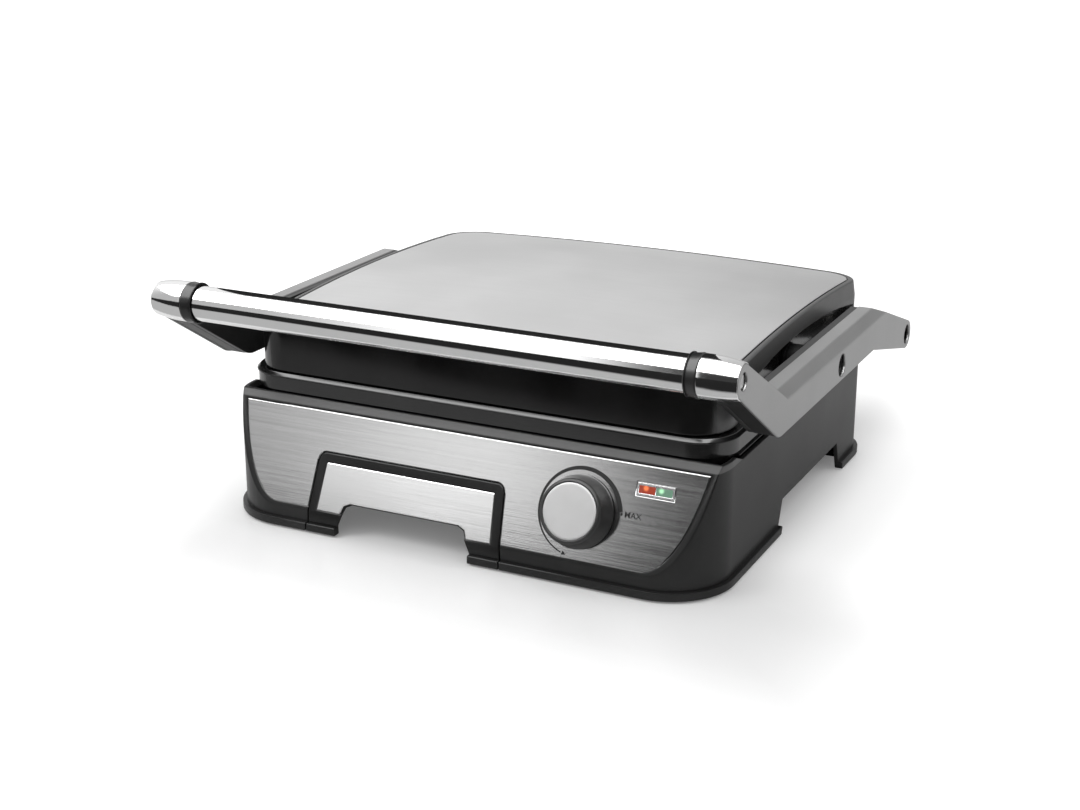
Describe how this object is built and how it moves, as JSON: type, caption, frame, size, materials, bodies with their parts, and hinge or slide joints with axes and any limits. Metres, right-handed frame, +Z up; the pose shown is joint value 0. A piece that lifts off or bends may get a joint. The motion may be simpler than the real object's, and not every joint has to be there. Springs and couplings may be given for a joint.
{
  "type": "electric indoor grill with lid",
  "caption": "Countertop contact grill: sloping steel front with knob and drip tray, ribbed plates, hinged floating lid and a tube handle on two cranked arms.",
  "frame": {"origin": "on the table under the middle of the whole object's box", "axes": "+Z up, -Y towards the person using it, +X to that person's right"},
  "size_m": [0.398, 0.378, 0.1663],
  "materials": {
    "black_plastic": "fine satin moulding, near black",
    "gloss_black": "glossy near-black moulding",
    "brushed_steel": "fine horizontal brushing, satin",
    "top_steel": "very fine satin steel sheet",
    "chrome": "polished",
    "silver_casting": "satin painted casting",
    "coated_aluminium": "dark non-stick coating",
    "steel": "bright zinc-plated fasteners and pins",
    "sheet_steel": "plain galvanised sheet",
    "element_steel": "heat-darkened tube",
    "rubber": "matt black",
    "pale_plastic": "cream heat-resistant moulding",
    "bush_plastic": "natural acetal",
    "knob_silver": "fine spun metal face",
    "lens_red": "translucent red",
    "lens_green": "translucent green",
    "window_frame": "bright plated frame",
    "lamp_glass": "clear neon lamp"
  },
  "bodies": {
    "base": {"base_housing": "black_plastic", "front_fascia": "brushed_steel", "bottom_cover": "black_plastic", "rubber_feet": "rubber", "cover_screws": "steel", "lower_surround": "gloss_black", "lower_grill_plate": "coated_aluminium", "lower_element": "element_steel", "lower_reflector": "sheet_steel", "lower_plate_screws": "steel", "thermostat_body": "pale_plastic", "thermostat_nut": "steel", "indicator_frame": "window_frame", "red_lens": "lens_red", "green_lens": "lens_green", "lamp_holder": "pale_plastic", "indicator_lamps": "lamp_glass", "terminal_block": "pale_plastic", "cord_gland": "rubber", "tray_runners": "black_plastic", "hinge_bracket_left": "black_plastic", "hinge_bracket_right": "black_plastic", "hinge_pins": "steel", "bracket_screws": "steel"},
    "drip_tray": {"tray_pan": "black_plastic", "tray_front": "black_plastic", "tray_fascia": "brushed_steel"},
    "knob": {"knob_body": "black_plastic", "knob_cap": "knob_silver", "knob_spindle": "steel"},
    "arms": {"arm_cover_left": "silver_casting", "arm_cover_right": "silver_casting", "arm_core_left": "black_plastic", "arm_core_right": "black_plastic", "handle_tube": "chrome", "handle_ring_left": "black_plastic", "handle_ring_right": "black_plastic", "handle_cap_left": "chrome", "handle_cap_right": "chrome", "handle_screws": "steel", "hinge_bushes": "bush_plastic", "pivot_bushes": "bush_plastic"},
    "lid": {"lid_shell": "gloss_black", "lid_top_plate": "top_steel", "lid_pivot_blocks": "black_plastic", "pivot_bolts": "steel", "upper_surround": "black_plastic", "upper_grill_plate": "coated_aluminium", "upper_element": "element_steel", "upper_reflector": "sheet_steel", "upper_plate_screws": "steel"}
  },
  "joints": [
    {"name": "handle_hinge", "type": "hinge", "parent": "base", "child": "arms", "pos_m": [0, 0.1785, 0.0863], "axis": [-1, 0, 0], "range_deg": [0, 180]},
    {"name": "lid_pivot", "type": "hinge", "parent": "arms", "child": "lid", "pos_m": [0, 0.01477, 0.1087], "axis": [-1, 0, 0], "range_deg": [-7.2, 0]},
    {"name": "tray_slide", "type": "slide", "parent": "base", "child": "drip_tray", "axis": [0, -1, 0], "range_m": [0, 0.15]},
    {"name": "knob_turn", "type": "hinge", "parent": "base", "child": "knob", "pos_m": [0.086, -0.14586, 0.04447], "axis": [0, 0.9348, -0.3551], "range_deg": [0, 240]}
  ],
  "couplings": [
    {"joint": "lid_pivot", "follows": "handle_hinge", "ratio": -0.04}
  ]
}
